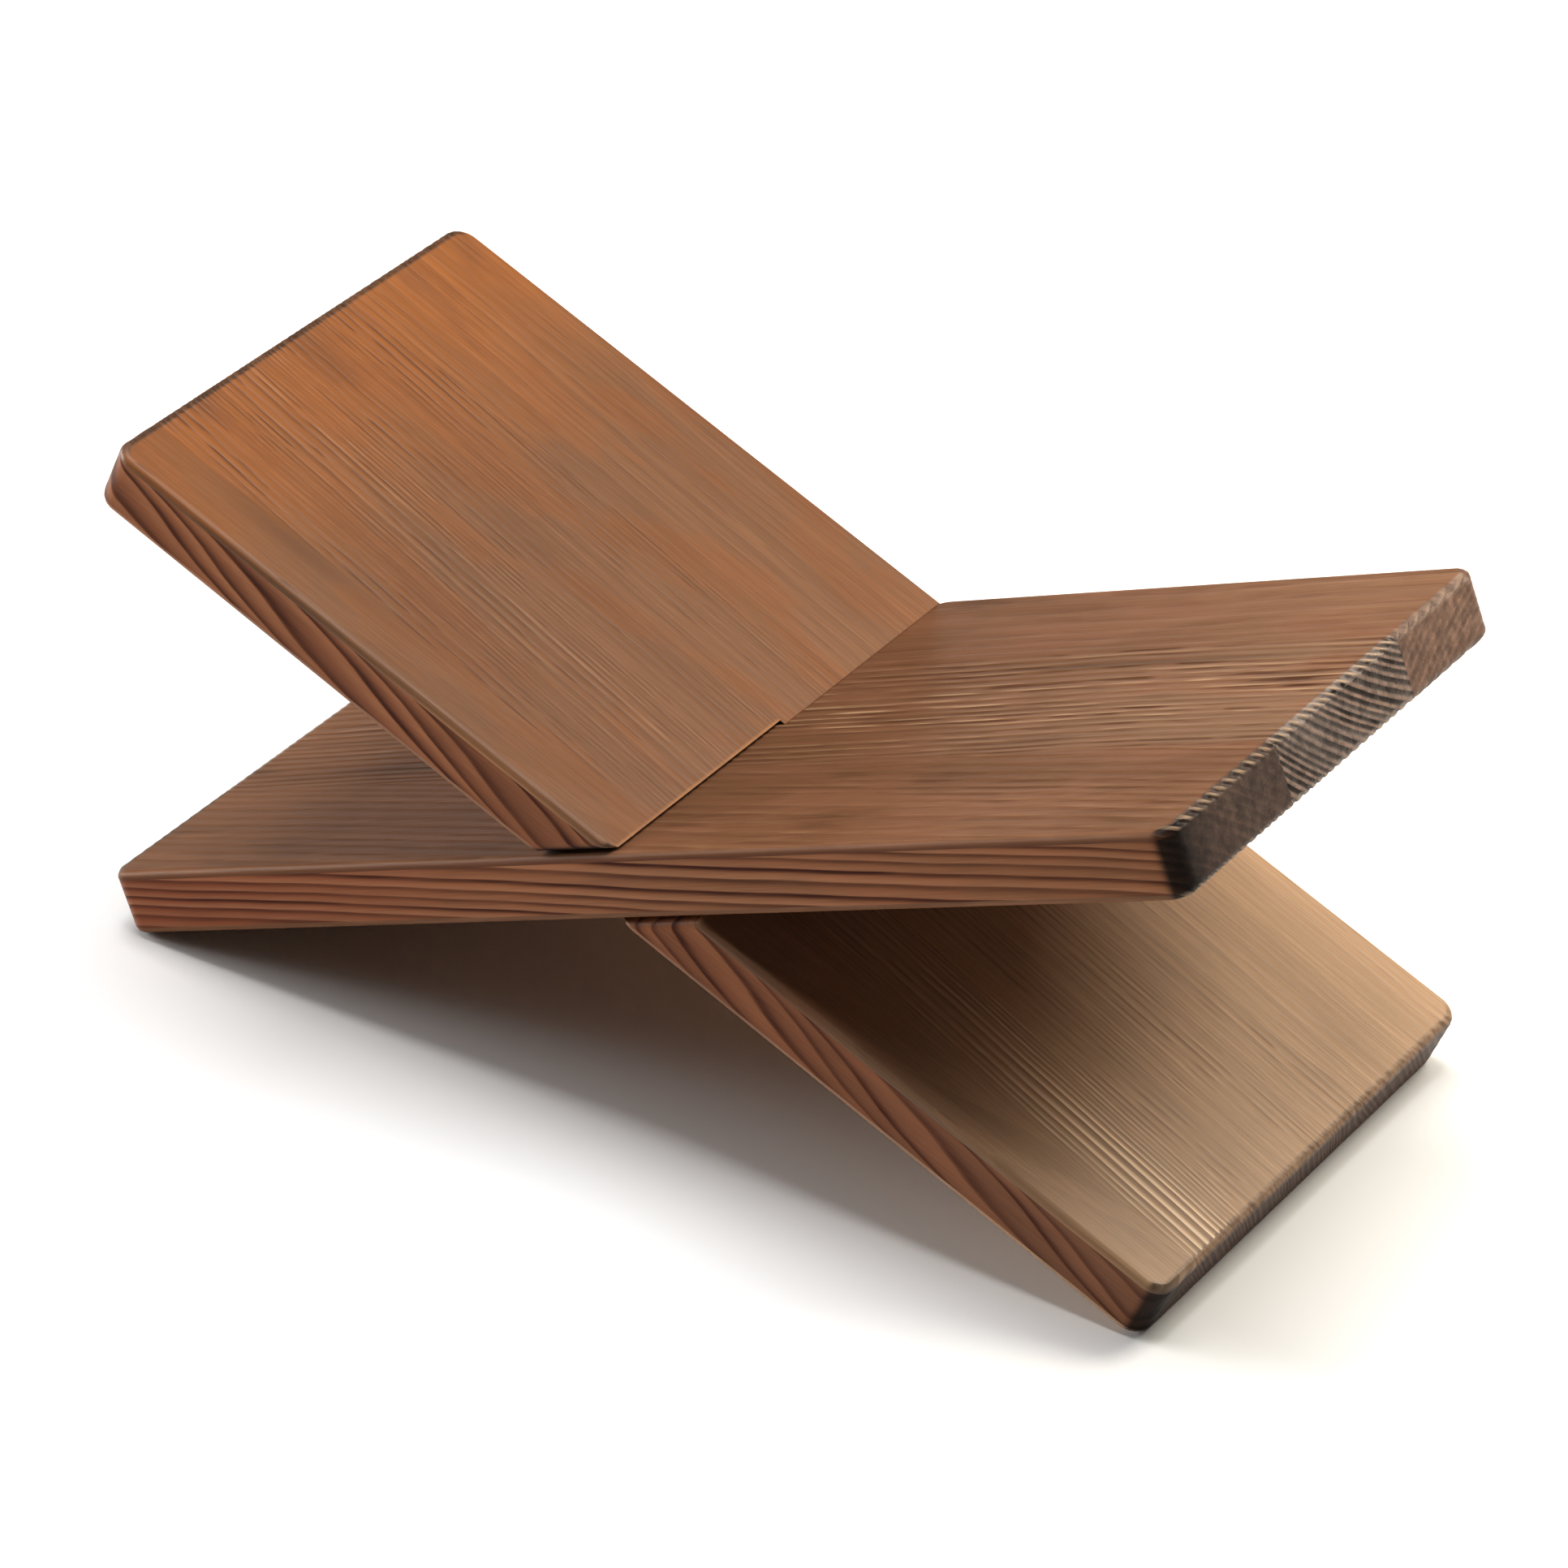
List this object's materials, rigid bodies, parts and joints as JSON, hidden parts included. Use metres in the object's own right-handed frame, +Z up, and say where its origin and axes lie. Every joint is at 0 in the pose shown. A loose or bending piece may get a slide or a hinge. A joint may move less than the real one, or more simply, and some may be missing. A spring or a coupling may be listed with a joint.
{
  "type": "book stand",
  "caption": "Low wooden book stand of slotted boards pushed together into an X, which carries an open book in its upper V.",
  "frame": {"origin": "on the table, under the middle of the crossing", "axes": "+X along the stand towards the arm of the board that is whole at the front, +Y to the rear along the line where the boards cross, +Z up"},
  "size_m": [0.3216, 0.15, 0.1463],
  "materials": {
    "brushed_softwood": "brushed grain, waxed matt"
  },
  "bodies": {
    "standing_board": {"right_arm_board": "brushed_softwood"},
    "sliding_board": {"left_arm_board": "brushed_softwood"}
  },
  "joints": [
    {"name": "slots_apart", "type": "slide", "parent": "standing_board", "child": "sliding_board", "axis": [0, 1, 0], "range_m": [0, 0.08]}
  ]
}
